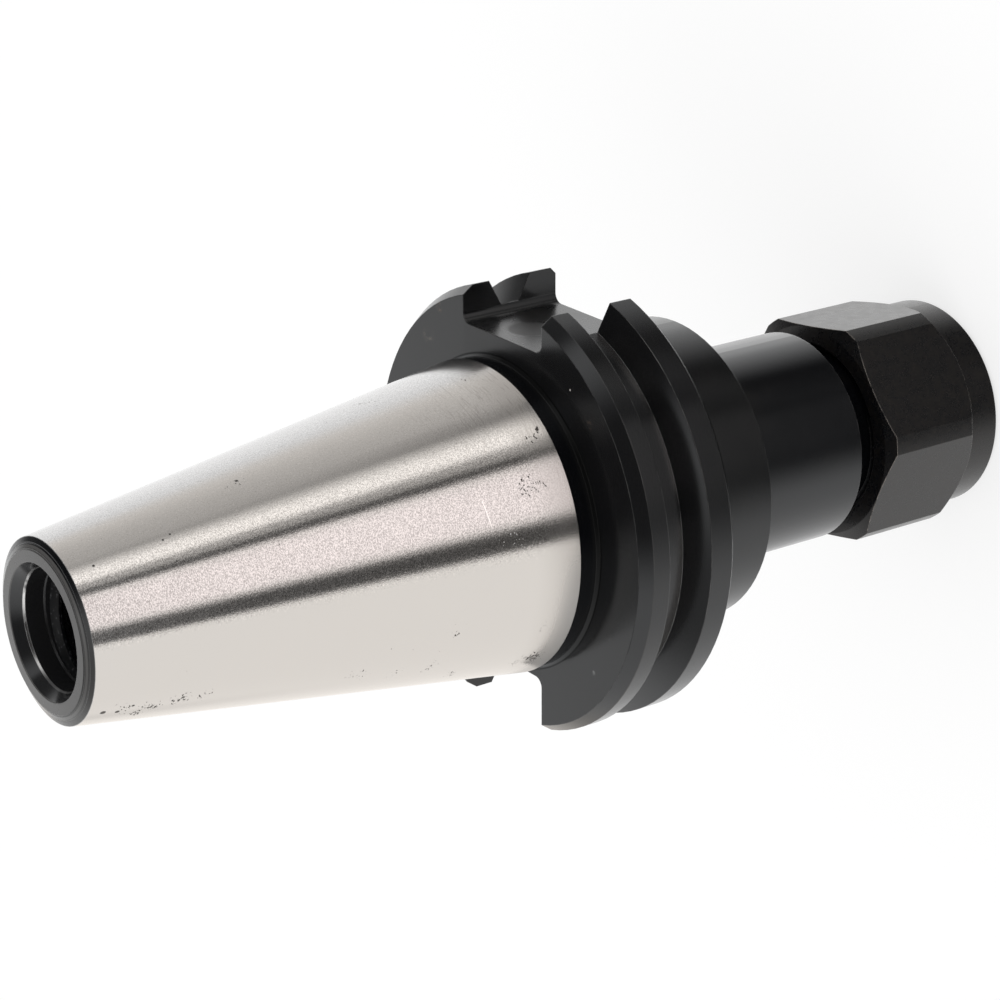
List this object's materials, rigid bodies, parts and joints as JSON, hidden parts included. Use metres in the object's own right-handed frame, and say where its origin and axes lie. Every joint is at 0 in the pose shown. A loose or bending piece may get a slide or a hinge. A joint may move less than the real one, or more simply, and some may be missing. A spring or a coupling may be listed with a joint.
{
  "type": "collet chuck holder",
  "caption": "Steep-taper V-flange tool holder with a hexagonal clamping nut, a slotted double-angle collet and a back-up screw, to grip a straight shank in a milling spindle.",
  "frame": {"origin": "centre of the taper's gauge plane, where it is 44.45 mm across", "axes": "+Z along the spindle axis, up towards the small end of the taper; +X through the drive slot with the shallower cut; the part stands on the nut's front face"},
  "size_m": [0.0608, 0.0636, 0.1515],
  "materials": {
    "holder_body": "black oxide with a ground bright taper",
    "clamping_nut": "black oxide",
    "collet": "ground",
    "stop_screw": "black oxide"
  },
  "bodies": {
    "holder": {"holder_body": "holder_body"},
    "collet": {"collet": "collet"},
    "nut": {"clamping_nut": "clamping_nut"},
    "stop": {"stop_screw": "stop_screw"}
  },
  "joints": [
    {"name": "collet_slide", "type": "slide", "parent": "holder", "child": "collet", "axis": [0, 0, -1], "range_m": [0, 0.01429]},
    {"name": "nut_turn", "type": "hinge", "parent": "collet", "child": "nut", "pos_m": [0, 0, -0.0685], "axis": [0, 0, -1], "range_deg": [0, 3241]},
    {"name": "stop_screw_set", "type": "slide", "parent": "holder", "child": "stop", "axis": [0, 0, -1], "range_m": [-0.012, 0.002]}
  ],
  "couplings": [
    {"joint": "nut_turn", "follows": "collet_slide", "rad_per_m": 3957.9}
  ]
}
